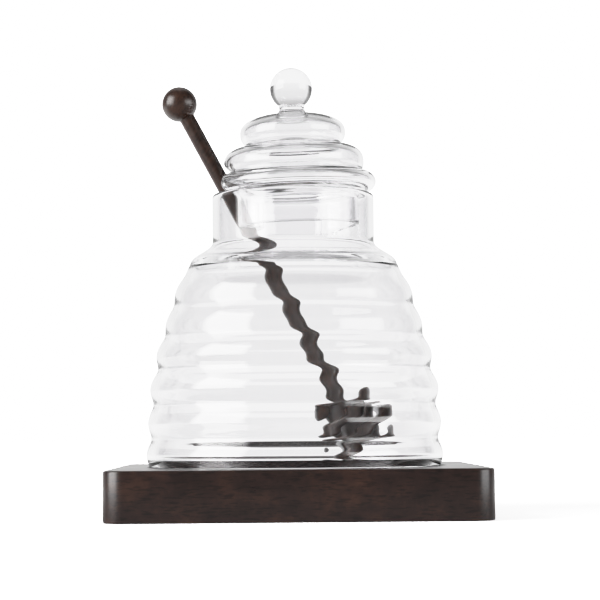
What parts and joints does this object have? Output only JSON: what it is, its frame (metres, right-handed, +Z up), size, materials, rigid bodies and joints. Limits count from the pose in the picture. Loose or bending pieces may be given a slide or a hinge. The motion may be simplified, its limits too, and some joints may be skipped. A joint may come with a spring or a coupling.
{
  "type": "honey pot",
  "caption": "Clear glass honey pot ribbed like a beehive, with a domed glass lid, a notch for its turned wooden dipper, and a square wooden board that it stands in.",
  "frame": {"origin": "middle of the board's underside, on the surface that it stands on", "axes": "+Z up along the jar's axis; the dipper leaves the pot towards -X; the front seen in the picture is the -Y side"},
  "size_m": [0.127, 0.127, 0.1584],
  "materials": {
    "wood": "dark stained hardwood, satin",
    "glass": "clear blown glass, polished"
  },
  "bodies": {
    "root": {"board": "wood", "jar": "glass", "lid": "glass", "dipper": "wood"}
  },
  "joints": []
}
